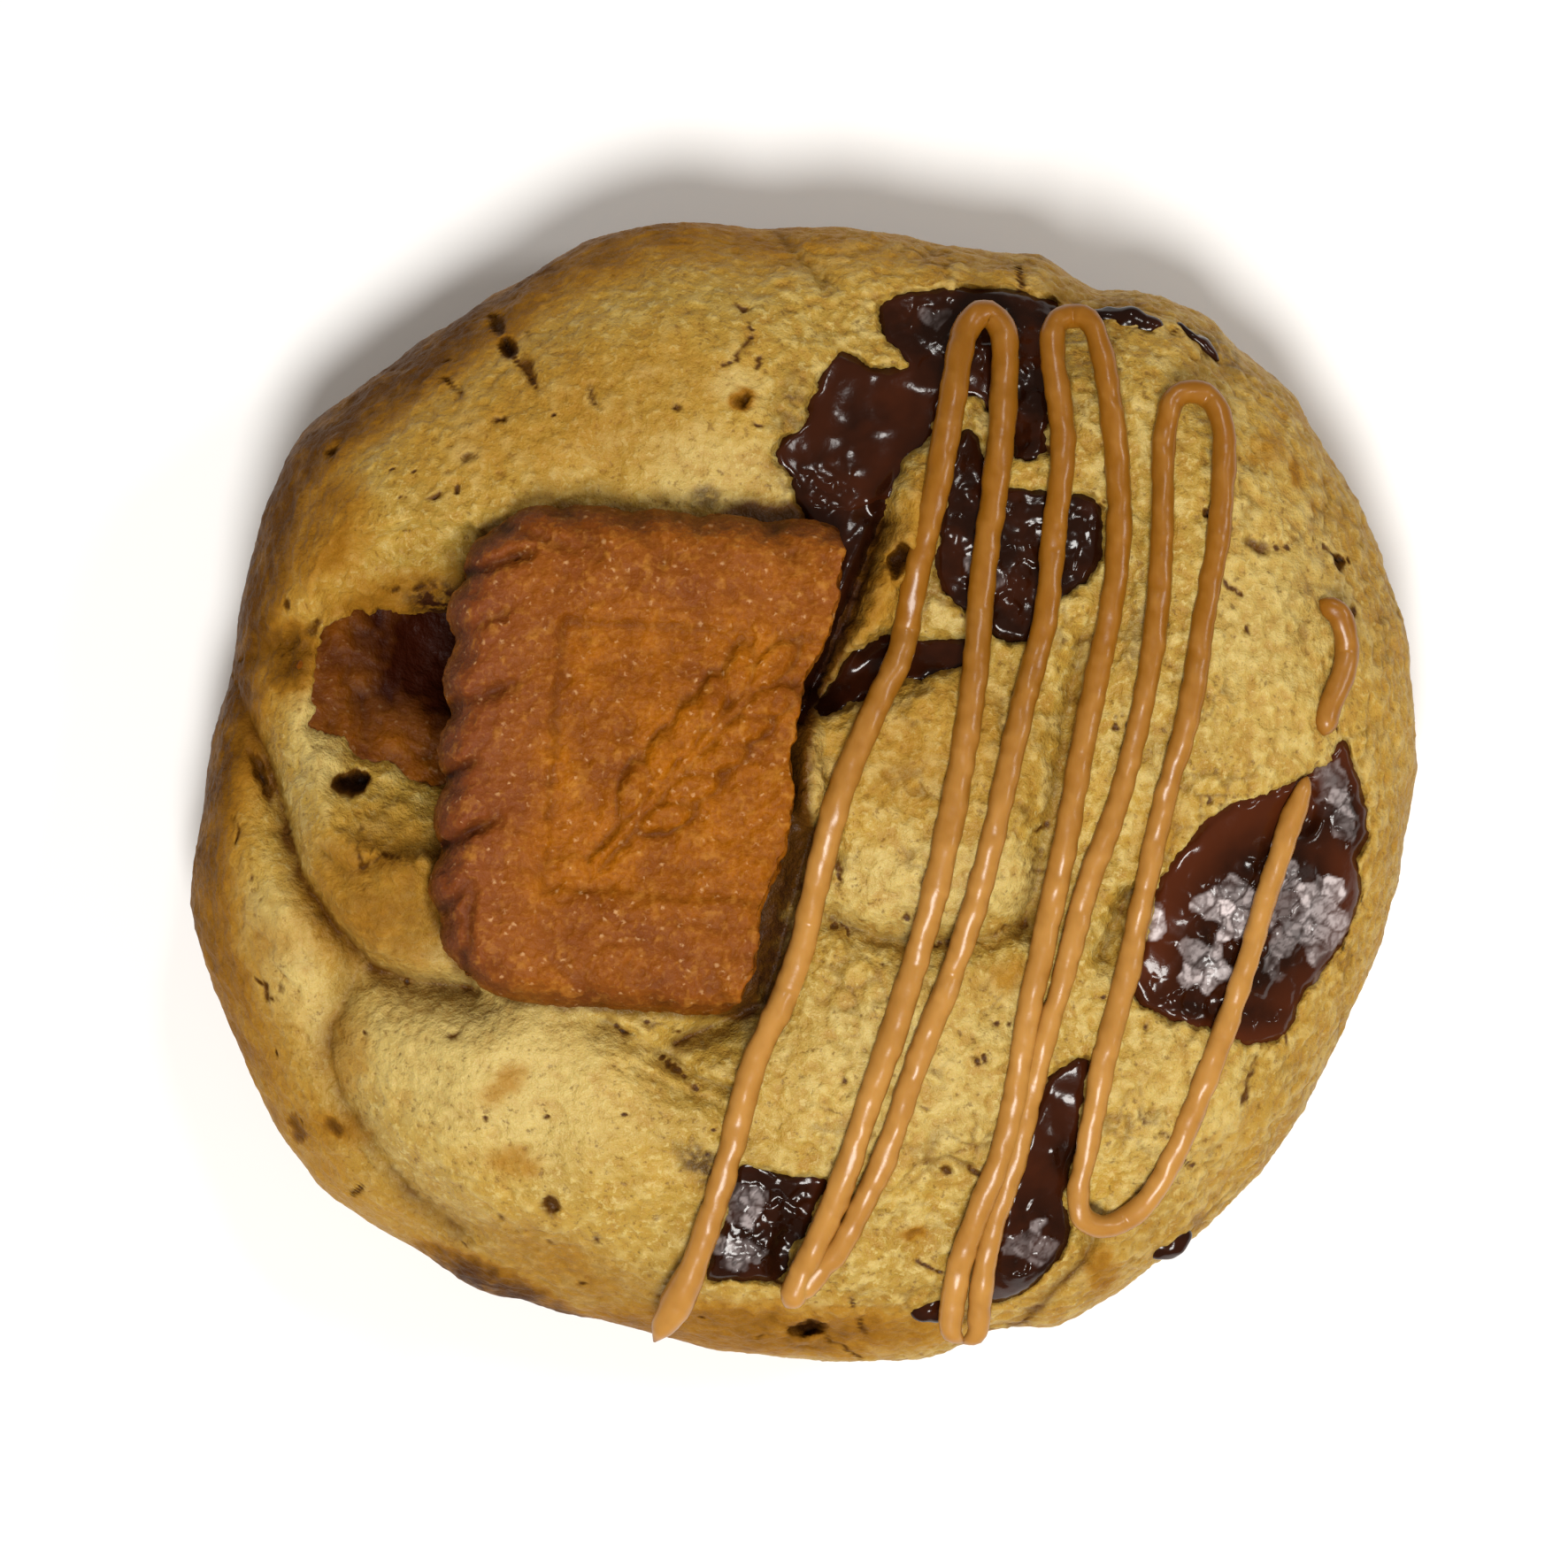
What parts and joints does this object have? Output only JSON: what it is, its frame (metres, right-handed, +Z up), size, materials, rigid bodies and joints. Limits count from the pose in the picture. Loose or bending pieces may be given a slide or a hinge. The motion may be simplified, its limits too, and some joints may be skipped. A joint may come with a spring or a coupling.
{
  "type": "chocolate chunk cookie with speculoos biscuit",
  "caption": "Thick round baked cookie with melted chocolate pools, a broken scalloped speculoos biscuit pressed into its top and a piped zigzag of biscuit spread.",
  "frame": {"origin": "middle of the flat base, where the cookie rests", "axes": "+Z up; seen from above with +Y at the top, the half biscuit is on the left (-X) and the piped spread on the right (+X)"},
  "size_m": [0.0802, 0.0749, 0.0266],
  "materials": {
    "dough": "baked cookie dough, matte golden crumb with browner edges",
    "chocolate": "melted and set dark chocolate, glossy, wrinkled in places",
    "biscuit": "caramelised spiced biscuit, matte and sandy with fine sugar glints",
    "spread": "smooth caramel brown biscuit spread, satin gloss"
  },
  "bodies": {
    "root": {"dough": "dough", "chocolate_upper": "chocolate", "chocolate_middle": "chocolate", "chocolate_under_ridge": "chocolate", "chocolate_right": "chocolate", "chocolate_lower_right": "chocolate", "chocolate_lower": "chocolate", "half_biscuit": "biscuit", "sunk_biscuit": "biscuit"}
  },
  "joints": []
}
